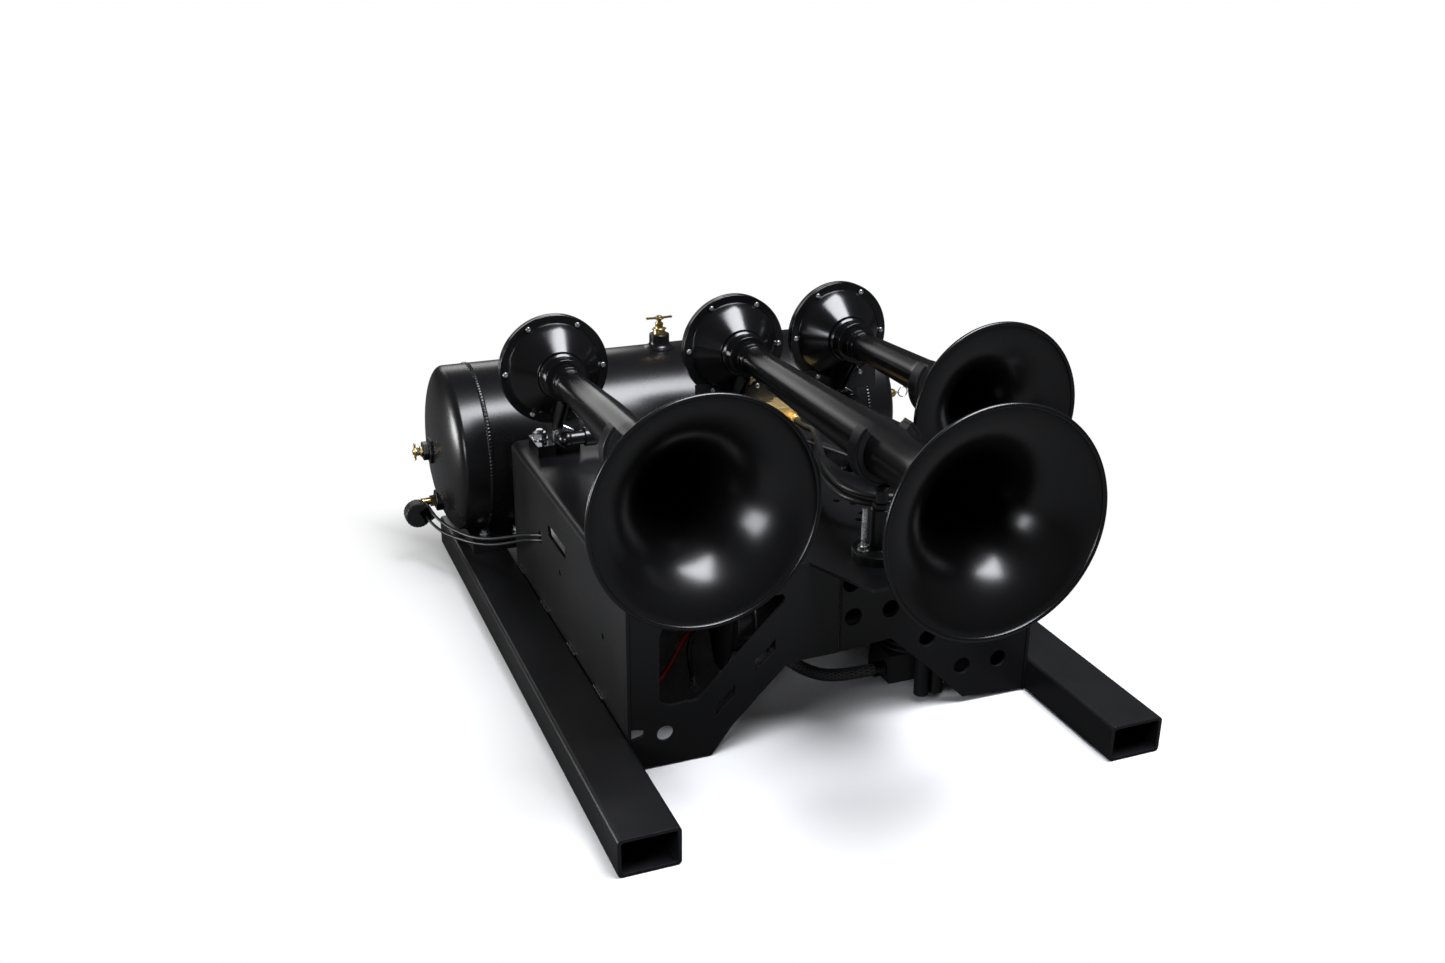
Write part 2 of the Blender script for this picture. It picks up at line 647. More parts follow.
def tank_end(side, seam, radius, y, z, steps):
    """A dished end with its two-step port, and on the left the port of the pressure switch."""
    wall, step, bite, sunk = 0.0035, 0.0045, 0.001, 0.003
    # The ports as radius over the corners and chamfer: the step, the one on it and the switch's
    wide, narrow, switch_port = (0.022, 0.0012), (0.0155, 0.0010), (0.0175, 0.0012)
    way, fitting = (ALONG_MINUS_X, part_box("end_cock_body")[1]) if side == "left" else (
        ALONG_X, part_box("safety_valve_body")[0])
    pole, face = SLEEVE + DISH, abs(fitting.x - seam)
    outline = [(radius, 0.0), (radius, SLEEVE * 0.5), (radius, SLEEVE)]
    outline += [(radius * math.cos(math.radians(a)), SLEEVE + DISH * math.sin(math.radians(a)))
                for a in range(5, 90, 5)]
    outline += [(0.0, pole), (0.0, pole - wall), (radius * 0.9, SLEEVE * 0.9), (radius * 0.96, 0.0),
                (radius, 0.0)]
    end = Shape().put(turned(outline, steps), at(seam, y, z), way)
    centre = at(seam, y, z)
    end.put(hexagon(wide[0], step + sunk, wide[1]), centre, way, at(0, 0, pole - sunk))
    end.put(hexagon(narrow[0], face - pole - step + bite, narrow[1]), centre, way,
            at(0, 0, pole + step - bite))
    if side == "left":
        sink = 0.008
        low_z, stub_end = measure("switch_fitting")[0].z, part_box("switch_fitting")[1].x
        knee = SLEEVE + DISH * math.sqrt(1 - ((z - low_z) / radius) ** 2) - sink
        end.put(hexagon(switch_port[0], abs(stub_end - seam) - knee, switch_port[1]), at(seam, y, low_z), way,
                at(0, 0, knee))
    return end


def make_tank(sizes):
    """Shell, ring welds and dished ends in the tank's paint."""
    weld_rise, weld_steps = 0.002, 960
    steps, paint = sizes.facets + 32, MATERIALS["tank"]
    middle, size = measure("tank_left_end")
    radius, y = size.y / 2, middle.y
    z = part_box("tank_left_end")[1].z - radius
    left, right = TANK[0].x + BEAD, TANK[1].x - BEAD
    finish("tank_shell_painted", tank_shell(radius, y, z, left, right, steps), paint, ["tank_shell"])
    beads = Shape()
    for seam in (left, right):
        beads.put(tank_weld(radius, weld_rise, BEAD * 2, weld_steps), at(seam, y, z), ALONG_X)
    finish("tank_ring_welds", beads, paint, crease=60.0, weighted=False)
    for side, seam in (("left", left), ("right", right)):
        finish("tank_%s_end_painted" % side, tank_end(side, seam, radius, y, z, steps), paint,
               ["tank_%s_end" % side])


def make_foot_bolts():
    """Two bolts with washers on each of the tank's feet."""
    foot_width, washer_radius = 0.094, 0.009
    bolts, y = Shape(), measure("tank_foot_bolts")[0].y
    low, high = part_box("tank_feet")
    for edge, sign in ((low.x, 1), (high.x, -1)):
        for share in (0.26, 0.8):
            x = edge + sign * foot_width * share
            bolts.put(disc(washer_radius, WASHER, 0.0003), at(x, y, high.z))
            bolts.put(hexagon(*NUT), at(x, y, high.z + WASHER))
    finish("tank_foot_bolts_plated", bolts, MATERIALS["zinc"], ["tank_foot_bolts"])


# Horns

def horn_place(horn):
    """Stands a form on a horn's axis, from the flange: its Z points out of the bell and its Y up."""
    flange = at(horn.side, FRONT + horn.station, horn.height)
    return (flange @ Matrix.Rotation(math.radians(horn.turn), 4, "Z")
            @ Matrix.Rotation(math.radians(90 - horn.tilt), 4, "X"))


def trumpet_outline(horn, sizes):
    """Outer wall, rolled rim and inner wall, from the thin end to the rim and back."""
    taper_steps, flare_steps, growth, roundness = 6, 44, 2.6, 0.6
    start, half = sizes.hub_reach + 0.001, sizes.clamp_width * 0.7
    rim, top = horn.reach - sizes.rim, horn.bell - sizes.rim
    wall = [(sizes.throat, start)]
    stops = [(start, sizes.throat), (horn.middle, horn.middle_radius), (horn.clamp - half, horn.grip),
             (horn.flare, horn.grip)]
    for (z0, r0), (z1, r1) in zip(stops, stops[1:]):
        shares = [i / taper_steps for i in range(1, taper_steps + 1)]
        wall += [(r0 + (r1 - r0) * share, z0 + (z1 - z0) * share) for share in shares]
    for i in range(1, flare_steps + 1):
        share = 1 - (1 - i / flare_steps) ** 2
        opening = 1 - (1 - share ** growth) ** roundness
        wall.append((horn.grip + (top - horn.grip) * opening, horn.flare + (rim - horn.flare) * share))
    bead = arc((top, rim), sizes.rim, -60, 180, 12)
    inner = [(r - sizes.wall, z) for r, z in reversed(wall) if r - sizes.wall < top - sizes.rim * 1.05]
    return wall + bead + inner + [wall[0]]


def housing_outline(sizes):
    """The front casting from the flange's back, round the front, to the bore and back inside."""
    flange, sheet, hub, reach = sizes.flange, sizes.flange_sheet, sizes.hub, sizes.hub_reach
    bore = sizes.throat - sizes.wall
    edge, hub_edge = 0.0014, 0.0012
    # The cone between the flange and the hub, as radius and height at its foot and its rise and narrow end
    cone, cone_foot, cone_rise, cone_end = 0.068, 0.0036, 0.0312, 0.0365
    side = cone - 0.0006
    outline = [(flange - edge, -sheet)] + arc((flange - edge, edge - sheet), edge, -90, 0, 4)
    outline += arc((flange - edge, -edge), edge, 0, 90, 4)
    outline += [(cone + 0.0022, 0.0)] + arc((cone + 0.0012, edge), edge, -60, -170, 4)
    outline += [(side, cone_foot)]
    outline += [(side + (cone_end - cone) * share, cone_foot + cone_rise * share ** 0.97)
                for share in (0.2, 0.4, 0.6, 0.8, 1.0)]
    # The shoulder, the groove behind the hub and the ring that closes it
    outline += arc((0.0352, 0.0352), 0.0012, 40, 140, 4)
    outline += [(0.0322, 0.0345), (0.0318, 0.0375), (0.0325, 0.0388)]
    outline += arc((0.0330, 0.0398), 0.0010, -90, 90, 5)
    outline += [(hub, 0.0425), (hub, reach - hub_edge)]
    outline += arc((hub - hub_edge, reach - hub_edge), hub_edge, 0, 90, 4)
    outline += [(bore, reach), (bore, -0.001), (0.064, -0.003), (0.066, -sheet), (flange - edge, -sheet)]
    return outline


def union_outline(sizes):
    """The threaded union between the casting and the tube: a wide band, a step and a lip."""
    start, throat = sizes.hub_reach + 0.0002, sizes.throat
    wide, edge, rear_edge = 0.024, 0.0009, 0.0008
    lip = wide - 0.0014
    outline = [(throat + 0.0003, start), (wide - rear_edge, start)]
    outline += arc((wide - rear_edge, start + rear_edge), rear_edge, -90, 0, 3)
    outline += [(wide, start + 0.0145)] + arc((wide - edge, start + 0.0145), edge, 0, 90, 3)
    outline += [(wide - 0.0026, start + 0.0156), (wide - 0.0028, start + 0.0168)]
    outline += [(lip, start + 0.0176), (lip, start + 0.0244)]
    outline += arc((lip - rear_edge, start + 0.0246), rear_edge, 0, 90, 3)
    outline += [(throat + 0.0016, start + 0.0256), (throat + 0.0003, start)]
    return outline


def cover_outline(sizes):
    """The rear cover, from the joint with the diaphragm, round the dished back."""
    flange, face = sizes.flange, -(sizes.flange_sheet + 0.001)
    edge, rear = 0.0014, face - 0.006
    dish, dish_depth, wall, seat = 0.070, 0.026, 0.004, 0.062
    outline = [(seat, face), (flange - edge, face)] + arc((flange - edge, face - edge), edge, 90, 0, 4)
    outline += arc((flange - edge, rear + edge), edge, 0, -90, 4)
    outline += [(dish + 0.0015, rear)]
    outline += [(dish * math.cos(math.radians(a)), rear - dish_depth * math.sin(math.radians(a)))
                for a in range(4, 90, 6)]
    outline += [(0.0, rear - dish_depth), (0.0, rear - dish_depth + wall), (seat - wall, rear - wall),
                (seat, rear), (seat, face)]
    return outline


def rim_screw(head, height):
    """A small domed socket screw with its recess."""
    recess, dome = head * 0.42, height * 0.45
    outline = [(0.0, height * 0.35), (recess * 0.9, height * 0.35), (recess, height * 0.98)]
    outline += [(head * 0.62, height)] + arc((head - dome, height - dome), dome, 70, 0, 4)
    outline += [(head, 0.0), (head * 0.5, -0.0004)]
    return turned(outline, 20)


def clamp_ring(outer, inner, width, wrap, middle):
    """A C-shaped band about Z, open at the top."""
    form = bmesh.new()
    start = math.radians(90 + (360 - wrap) / 2)
    near, far = middle - width / 2, middle + width / 2
    corners = [form.verts.new((r * math.cos(start), r * math.sin(start), z))
               for r, z in ((inner, near), (outer, near), (outer, far), (inner, far))]
    return spun(form, [form.faces.new(corners)], math.radians(wrap), 60, False)


def clamp_with_stem(horn, sizes, place):
    """A clamp and the stem that widens into its underside."""
    stem, spread_out, rise = 0.008, 0.009, 0.012
    ring = clamp_ring(sizes.clamp_radius, sizes.clamp_radius - sizes.clamp_wall, sizes.clamp_width,
                      sizes.clamp_wrap, horn.clamp)
    clamp = Shape().put(bevelled(ring, 0.0009, 3, 50.0), place)
    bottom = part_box(horn.name + "_clamp")[0].z
    centre = place @ Vector((0, 0, horn.clamp))
    top = centre.z - sizes.clamp_radius + sizes.clamp_wall * 0.5
    outline = [(0.0, bottom), (stem, bottom), (stem, top - rise)]
    outline += [(stem + spread_out * share ** 2.2, top - rise + rise * share) for share in (0.4, 0.7, 1.0)]
    return clamp.put(turned(outline + [(0.0, top)], 40), at(centre.x, centre.y, 0))


def clamp_liner(horn, sizes):
    ring = clamp_ring(sizes.clamp_radius - sizes.clamp_wall, horn.grip + 0.0003, sizes.clamp_width * 1.06,
                      sizes.clamp_wrap - 1.0, horn.clamp)
    return bevelled(ring, 0.0008, 2, 50.0)


def make_horns(horns, sizes):
    """Trumpets and clamps one by one, and the like pieces of the three horns together."""
    # The brackets of the middle and right horns have wings, whose sheet lies under two of the screws
    wing_sheet, wing_angles = 0.004, (240, 300)
    housings, unions, covers, screws, liners = Shape(), Shape(), Shape(), Shape(), Shape()
    for horn in horns:
        place = horn_place(horn)
        trumpet = Shape().put(turned(trumpet_outline(horn, sizes), sizes.facets), place)
        finish(horn.name + "_trumpet_spun", trumpet, MATERIALS["horn"], [horn.name + "_trumpet"],
               crease=50.0)
        housings.put(turned(housing_outline(sizes), sizes.facets), place)
        unions.put(turned(union_outline(sizes), 72), place)
        covers.put(turned(cover_outline(sizes), sizes.facets), place)
        for angle in range(0, 360, 60):
            seat = wing_sheet if horn.name != "left" and angle in wing_angles else 0.0
            turn = math.radians(angle)
            spot = at(sizes.screw_circle * math.cos(turn), sizes.screw_circle * math.sin(turn), seat)
            screws.put(rim_screw(0.0038, 0.0024), place, spot)
        finish(horn.name + "_clamp_coated", clamp_with_stem(horn, sizes, place), MATERIALS["coat"],
               [horn.name + "_clamp"])
        liners.put(clamp_liner(horn, sizes), place, Matrix.Rotation(math.radians(0.5), 4, "Z"))
    for name, shape, node in (("front_housings_cast", housings, "front_housings"),
                              ("unions_turned", unions, "horn_unions"),
                              ("rear_covers_pressed", covers, "rear_covers")):
        finish(name, shape, MATERIALS["gloss"], [node], crease=40.0)
    finish("rim_screws_plated", screws, MATERIALS["zinc"], ["rim_screws"])
    finish("clamp_liners_rubber", liners, MATERIALS["rubber"], ["clamp_liners"])
    dress("horn_diaphragms", MATERIALS["steel"])


# The thickness of a post's round base
POST_BASE = 0.012


def post_outline(height):
    """A round base with rounded edges and the post on it."""
    base, post = 0.035, 0.013
    edge, foot_edge, fillet, top_edge = 0.0016, 0.0006, 0.0008, 0.0012
    outline = [(0.0, 0.0), (base - foot_edge, 0.0), (base, foot_edge), (base, POST_BASE - edge)]
    outline += arc((base - edge, POST_BASE - edge), edge, 0, 90, 4)
    outline += [(post + fillet, POST_BASE)]
    outline += arc((post + fillet, POST_BASE + fillet), fillet, -90, -180, 4)
    outline += [(post, height - top_edge), (post - top_edge, height), (0.0, height)]
    return outline


def make_posts(horns, sizes):
    """Round bases with their posts, and the studs and nuts that hold them."""
    posts, studs, nuts, locks = Shape(), Shape(), Shape(), Shape()
    post_top, stud_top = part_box("clamp_posts")[1].z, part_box("deck_studs")[1].z
    seat = DECK_TOP + POST_BASE
    for horn in horns:
        centre = horn_place(horn) @ Vector((0, 0, horn.clamp))
        posts.put(turned(post_outline(post_top - DECK_TOP), 72), at(centre.x, centre.y, DECK_TOP))
        locks.put(hexagon(0.012, 0.007, chamfer=0.0007, bore=0.0081), at(centre.x, centre.y, post_top))
        for side in (-1, 1):
            x = centre.x + sizes.stud_spread * side
            studs.put(thread(sizes.stud, stud_top - DECK_TOP, sizes.thread_pitch), at(x, centre.y, DECK_TOP))
            nuts.put(disc(0.008, WASHER, 0.0003, steps=40, bore=sizes.stud), at(x, centre.y, seat))
            nuts.put(hexagon(*NUT, sizes.stud), at(x, centre.y, seat + WASHER))
    coat, zinc = MATERIALS["coat"], MATERIALS["zinc"]
    finish("clamp_posts_coated", posts, coat, ["clamp_posts"])
    finish("deck_studs_plated", studs, zinc, ["deck_studs"], crease=25.0, weighted=False)
    finish("post_nuts_plated", nuts, zinc, ["post_nuts"])
    finish("jam_nuts_coated", locks, coat)


def bracket_bolt(shape, x, y, top):
    """A washer, a nut and the end of the bolt that stands out of it."""
    bolt = 0.006
    shape.put(disc(0.012, WASHER, 0.0003), at(x, y, top))
    shape.put(hexagon(0.011, 0.0092, chamfer=0.0010, bore=bolt), at(x, y, top + WASHER))
    shape.put(thread(bolt, 0.0132, pitch=0.00175), at(x, y, top + WASHER))


def inlet_fitting(shape, horn, place):
    """A short lead with its hose socket; the left horn's turns off to the side in an elbow."""
    tube, elbow, collar = 0.0105, 0.012, 0.014
    seat, corner = at(FITTING_SIDE, -FITTING_DROP, 0), at(0, 0, FITTING_LEAD)
    shape.put(rod(tube, FITTING_LEAD), place, seat)
    if horn.name != "left":
        shape.put(socket(collar, FITTING_COLLAR), place, seat, corner)
        return
    shape.put(ball(elbow, 32), place, seat, corner)
    shape.put(rod(tube, FITTING_ARM), place, seat, corner, ALONG_X)
    shape.put(socket(collar, FITTING_COLLAR), place, seat, at(FITTING_ARM, 0, FITTING_LEAD), ALONG_X)


def make_brackets(horns, sizes):
    """Rear brackets, their blocks and bolts, and the inlet fittings with their nuts."""
    # A block starts beside the bracket's sheet, and its front lies ahead of the flange
    block_start, block_front = -0.0079, -0.0205
    block_width, block_depth = 0.027, 0.055
    for horn in horns:
        node = horn.name + "_bracket"
        finish(node + "_coated", Shape().put(softened(node, sizes.edge)), MATERIALS["coat"], [node])
    finish("bracket_blocks_coated", Shape().put(softened("bracket_blocks", 0.0007)), MATERIALS["gloss"],
           ["bracket_blocks"])
    bolts, fittings = Shape(), Shape()
    block_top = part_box("bracket_blocks")[1].z
    for horn in horns:
        place = horn_place(horn)
        x = horn.side + block_start - block_width * 0.56
        y = FRONT + horn.station + block_front + block_depth * 0.62
        bracket_bolt(bolts, x, y, block_top)
        inlet_nut = hexagon(0.018, 0.007, chamfer=0.0012, bore=0.0106)
        bolts.put(inlet_nut, place, at(FITTING_SIDE, -FITTING_DROP, 0))
        inlet_fitting(fittings, horn, place)
    finish("bracket_bolts_plated", bolts, MATERIALS["zinc"], ["bracket_bolts"])
    finish("inlet_fittings_moulded", fittings, MATERIALS["horn"], ["inlet_fittings"])


def socket(radius, length):
    """A push-in hose socket with a release collar at its mouth."""
    edge, body, neck, collar = 0.0012, length * 0.72, radius * 0.8, radius * 0.92
    outline = [(0.0, 0.0), (radius - 0.001, 0.0), (radius, 0.001), (radius, body)]
    outline += arc((radius - edge, body), edge, 0, 90, 3)
    outline += [(neck, length * 0.785), (neck, length * 0.86), (collar, length * 0.88),
                (collar, length * 0.98), (radius * 0.85, length), (0.0, length)]
    return turned(outline, 40)


# Valve

def make_valve():
    """Brass block with its three outlets, and the coil on top."""
    station, outlet_height = 0.648, 0.016
    low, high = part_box("valve_block")
    centre, size = measure("valve_coil")
    coil_bottom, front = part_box("valve_coil")[0].z, FRONT + station
    # The upper part of the block stands a little proud of the lower one
    upper, proud, nut_height = 0.008, 0.002, 0.006
    lower_top = coil_bottom - upper
    lower = bar((low.x + proud, front + proud, low.z), (high.x - proud, high.y, lower_top), 0.001)
    block = Shape().put(lower)
    block.put(bar((low.x, front, lower_top), (high.x, high.y, coil_bottom), 0.0012))
    for share in (0.18, 0.5, 0.82):
        x, z = low.x + (high.x - low.x) * share, DECK_TOP + outlet_height
        block.put(hexagon(0.0082, 0.008, chamfer=0.0008), at(x, front + proud, z), ALONG_MINUS_Y)
        outlet = disc(0.0072, front - low.y - nut_height, 0.0006)
        block.put(outlet, at(x, front - nut_height, z), ALONG_MINUS_Y)
    finish("valve_block_brass", block, MATERIALS["forged"], ["valve_block"])
    coil = Shape().put(disc(size.x / 2, size.z, 0.0014, 64), at(centre.x, centre.y, coil_bottom))
    finish("valve_coil_moulded", coil, MATERIALS["plastic"], ["valve_coil"])
    dress("valve_plunger", MATERIALS["steel"])
    dress("supply_pipe", MATERIALS["brass"])


# Cocks and other tank fittings

def cock_body(neck, hex_radius, hex_height, neck_height, ears=False):
    """Brass body of a drain cock: hexagon or tapered foot with an eared ring, waist and flared lip."""
    bore, bore_depth = 0.0048, 0.002
    shape = Shape()
    if ears:
        foot = [(0.0, 0.0), (0.0104, 0.0), (0.0105, 0.0022), (0.0088, hex_height), (0.0, hex_height)]
        shape.put(turned(foot, 40))
        shape.put(disc(hex_radius * 0.86, 0.0030, 0.0007, 40), at(0, 0, hex_height - 0.0015))
        ear, rise = 0.003, 0.0012
        shape.put(bar((-hex_radius, -ear, hex_height - rise), (hex_radius, ear, hex_height + rise), 0.0008))
    else:
        shape.put(hexagon(hex_radius, hex_height, 0.0009))
    foot, top = hex_height - 0.001, hex_height + neck_height
    outline = [(0.0, foot), (neck, foot)]
    outline += [(neck * wide, hex_height + neck_height * share)
                for wide, share in ((0.86, 0.3), (0.9, 0.55), (1.0, 0.85), (0.96, 1.0))]
    outline += [(bore, top), (bore, top - bore_depth), (0.0, top - bore_depth)]
    return shape.put(turned(outline, 40))


def cock_handle(rise, length, bar_radius):
    """Stem with a flat crossbar that swells round it and has turned-up ears."""
    start, stem, waist = 0.004, 0.0045, 0.0038
    outline = [(0.0, start), (stem, start), (stem, rise * 0.62), (waist, rise * 0.7), (stem, rise * 0.84),
               (stem, rise - 0.0004), (0.0041, rise), (0.0, rise)]
    shape = Shape().put(turned(outline, 32))
    half, level = length / 2, rise - bar_radius * 1.5
    shape.put(disc(bar_radius * 3.0, bar_radius * 1.2, 0.0006, 36), at(0, 0, level - bar_radius * 0.6))
    for side in (-1, 1):
        ear = bmesh.new()
        bmesh.ops.create_cube(ear, size=1.0)
        size = Matrix.Diagonal((half, bar_radius * 1.7, bar_radius * 1.1, 1.0))
        ear.transform(at(side * half / 2, 0, level) @ size)
        for vert in ear.verts:
            if abs(vert.co.x) > half * 0.9:
                vert.co.y *= 1.35
                vert.co.z = level + (vert.co.z - level) * 0.9 + bar_radius * 0.3
        shape.put(bevelled(ear, 0.0005))
        tip = at(side * (half - bar_radius * 0.6), 0, level + bar_radius * 0.25)
        shape.put(ball(bar_radius * 1.1, 16), tip, Matrix.Diagonal((1.0, 1.1, 0.75, 1.0)))
    return shape


def make_cock(name, body, handle, stand):
    """A drain cock's body, and its handle, which turns."""
    for node, shape, rides in ((name + "_body", body, "skid"), (name + "_handle", handle, name + "_handle")):
        finish(node + "_brass", Shape().put(shape.mesh, stand), MATERIALS["brass"], [node], body=rides)


def safety_valve(stand):
    """A hexagon and on it a grooved barrel, open at its end round the stem."""
    barrel, groove, bore, top = 0.0075, 0.0068, 0.0022, 0.034
    outline = [(0.0, 0.007), (barrel, 0.007), (barrel, 0.021), (groove, 0.022), (groove, 0.024),
               (barrel, 0.025), (barrel, 0.031), (0.0062, top), (bore, top), (bore, top - 0.002),
               (0.0, top - 0.002)]
    valve = Shape().put(hexagon(0.012, 0.008, chamfer=0.0009), stand)
    return valve.put(turned(outline, 40), stand)


def make_fittings():
    """The two drain cocks, the safety valve and the fittings of the hose and the switch."""
    brass, bar_radius = MATERIALS["brass"], 0.0026
    middle, bottom = measure("top_cock_body")[0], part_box("top_cock_body")[0].z
    body = cock_body(neck=0.007, hex_radius=0.012, hex_height=0.008, neck_height=0.010, ears=True)
    handle = cock_handle(rise=0.030, length=0.043, bar_radius=bar_radius)
    make_cock("top_cock", body, handle, at(middle.x, middle.y, bottom))
    middle, inner = measure("end_cock_body")[0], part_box("end_cock_body")[1].x
    body = cock_body(neck=0.007, hex_radius=0.009, hex_height=0.004, neck_height=0.004)
    handle = cock_handle(rise=0.015, length=0.026, bar_radius=bar_radius)
    make_cock("end_cock", body, handle, at(inner, middle.y, middle.z) @ ALONG_MINUS_X)
    middle, inner = measure("safety_valve_body")[0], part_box("safety_valve_body")[0].x
    valve = safety_valve(at(inner, middle.y, middle.z) @ ALONG_X)
    finish("safety_valve_brass", valve, brass, ["safety_valve_body"])
    dress("safety_valve_stem", MATERIALS["zinc"])
    finish("hose_fittings_painted", Shape().put(softened("hose_fittings", 0.0006)), MATERIALS["gloss"],
           ["hose_fittings"])
    finish("switch_fitting_brass", Shape().put(softened("switch_fitting", 0.0004)), brass, ["switch_fitting"])


def make_switch():
    """Pressure switch: a ribbed round cap with a wedge-shaped lead outlet."""
    ribs, rib_share = 24, 0.016
    low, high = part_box("pressure_switch")
    radius, depth = (high.z - low.z) / 2, high.y - low.y
    x, z, side = low.x + radius, (low.z + high.z) / 2, radius * 0.985
    cap = turned([(0.0, 0.0), (radius * 0.55, 0.0), (radius * 0.9, depth * 0.08), (side, depth * 0.18),
                  (side, depth * 0.9), (radius * 0.9, depth), (0.0, depth)], 96)
    for vert in cap.verts:
        if math.hypot(vert.co.x, vert.co.y) > radius * 0.85:
            ridge = 1.0 + rib_share * math.sin(ribs * math.atan2(vert.co.y, vert.co.x))
            vert.co.x *= ridge
            vert.co.y *= ridge
    switch = Shape().put(cap, at(x, high.y, z), ALONG_MINUS_Y)
    outlet = bar((-0.011, -0.0135, -0.002), (0.011, 0.0135, depth * 0.42), 0.0028, 3)
    switch.put(outlet, at(x + radius * 0.62, low.y + depth * 0.42, z),
               Matrix.Rotation(math.radians(-28), 4, "Y"), ALONG_MINUS_Y)
    finish("pressure_switch_moulded", switch, MATERIALS["plastic"], ["pressure_switch"])


# Compressor

def make_compressor():
    """Motor, crank case, head and silencers, hung under the deck."""
    for node, material, slot, width in (("crank_case", "cast", "cast_black", 0.0007),
                                        ("cylinder_head", "cast", "cast_black", 0.0015),
                                        ("intake_silencers", "plastic", "black_plastic", 0.0012)):
        finish(node + "_dressed", Shape().put(softened(node, width)), MATERIALS[material], [node])
    low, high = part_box("motor_case")
    radius, left = (high.z - low.z) / 2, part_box("compressor_hangers")[0].x + 0.005
    y, z, length = low.y + radius, low.z + radius, high.x - left
    edge, groove = 0.003, 0.0012
    outline = [(0.0, 0.0), (radius - edge, 0.0)] + arc((radius - edge, edge), edge, -90, 0, 4)
    for middle in (length * 0.1, length * 0.9):
        outline += [(radius, middle - 0.003), (radius - groove, middle - 0.0015),
                    (radius - groove, middle + 0.0015), (radius, middle + 0.003)]
    outline += [(radius, length - 0.001), (radius - 0.001, length), (0.0, length)]
    motor = Shape().put(turned(outline, 96), at(left, y, z), ALONG_X)
    gland = disc(0.009, left - low.x + 0.002, 0.0012, 32)
    motor.put(gland, at(left + 0.001, y - 0.0045, z - 0.010), ALONG_MINUS_X)
    finish("motor_case_painted", motor, MATERIALS["tank"], ["motor_case"])
    for node in ("crank_shaft", "connecting_rod", "piston"):
        dress(node, MATERIALS["steel"])


# Hoses and leads

# The routes, each point as side, station and height
LEFT_HOSE = [(0.10008, 0.636, 0.266), (0.10008, 0.596, 0.266), (0.084, 0.562, 0.266),
             (0.052, 0.540, 0.267), (0.010, 0.532, 0.268), (-0.036, 0.540, 0.270),
             (-0.074, 0.566, 0.273), (-0.103, 0.612, 0.276)]
MIDDLE_HOSE = [(0.118, 0.636, 0.266), (0.118, 0.598, 0.266), (0.112, 0.548, 0.267),
               (0.097, 0.492, 0.270), (0.077, 0.434, 0.276), (0.058, 0.378, 0.282),
               (0.047, 0.332, 0.286), (0.047, 0.286, 0.287), (0.068, 0.256, 0.287),
               (0.103, 0.245, 0.286), (0.138, 0.256, 0.285), (0.159, 0.286, 0.284),
               (0.158, 0.340, 0.283), (0.140, 0.400, 0.283), (0.114, 0.466, 0.283),
               (0.090, 0.530, 0.282), (0.070, 0.582, 0.280)]
RIGHT_HOSE = [(0.13592, 0.636, 0.266), (0.13592, 0.604, 0.266), (0.123, 0.552, 0.283),
              (0.103, 0.500, 0.298), (0.080, 0.440, 0.300), (0.059, 0.380, 0.300), (0.047, 0.330, 0.300),
              (0.047, 0.284, 0.300), (0.069, 0.248, 0.300), (0.110, 0.233, 0.299), (0.162, 0.233, 0.297),
              (0.212, 0.242, 0.294), (0.248, 0.268, 0.291), (0.263, 0.312, 0.290), (0.265, 0.362, 0.289),
              (0.259, 0.416, 0.289), (0.248, 0.466, 0.290), (0.239, 0.512, 0.290), (0.231, 0.556, 0.290)]
COMPRESSOR_HOSE = [(0.078, 0.247, 0.046), (0.044, 0.247, 0.046), (0.004, 0.250, 0.050),
                   (-0.030, 0.258, 0.067), (-0.054, 0.284, 0.086), (-0.068, 0.324, 0.097),
                   (-0.076, 0.372, 0.108), (-0.077, 0.424, 0.132), (-0.074, 0.480, 0.160),
                   (-0.068, 0.540, 0.180), (-0.062, 0.610, 0.192), (-0.060, 0.676, 0.1945),
                   (-0.060, 0.742, 0.1945)]
UPPER_LEAD = [(-0.394, 0.8735, 0.103), (-0.394, 0.8535, 0.103), (-0.380, 0.8255, 0.093),
              (-0.366, 0.7995, 0.090), (-0.350, 0.7675, 0.091), (-0.332, 0.7275, 0.102),
              (-0.314, 0.6815, 0.122), (-0.300, 0.6355, 0.143), (-0.2923, 0.5975, 0.157),
              (-0.2743, 0.5775, 0.162)]
LOWER_LEAD = [(-0.400, 0.8735, 0.091), (-0.400, 0.8575, 0.091), (-0.385, 0.8315, 0.079),
              (-0.368, 0.8035, 0.078), (-0.350, 0.7675, 0.082), (-0.332, 0.7275, 0.092),
              (-0.313, 0.6815, 0.112), (-0.299, 0.6355, 0.135), (-0.2923, 0.5975, 0.149),
              (-0.2743, 0.5775, 0.154)]
RED_LEAD = [(-0.150, 0.262, 0.155), (-0.170, 0.262, 0.155), (-0.190, 0.257, 0.142),
            (-0.206, 0.250, 0.121), (-0.220, 0.246, 0.101), (-0.236, 0.246, 0.085)]
BLACK_LEAD = [(-0.150, 0.253, 0.155), (-0.167, 0.253, 0.155), (-0.180, 0.252, 0.146),
              (-0.187, 0.249, 0.129), (-0.186, 0.246, 0.109), (-0.183, 0.246, 0.089)]


def curve_length(curve):
    """The length of a curve's smooth line."""
    line = curve.copy()
    line.bevel_depth = 0.0
    thing = bpy.data.objects.new("line", line)
    mesh = bpy.data.meshes.new_from_object(thing)
    spots = [vert.co for vert in mesh.vertices]
    total = sum((spots[e.vertices[0]] - spots[e.vertices[1]]).length for e in mesh.edges)
    bpy.data.objects.remove(thing)
    bpy.data.curves.remove(line)
    bpy.data.meshes.remove(mesh)
    return total


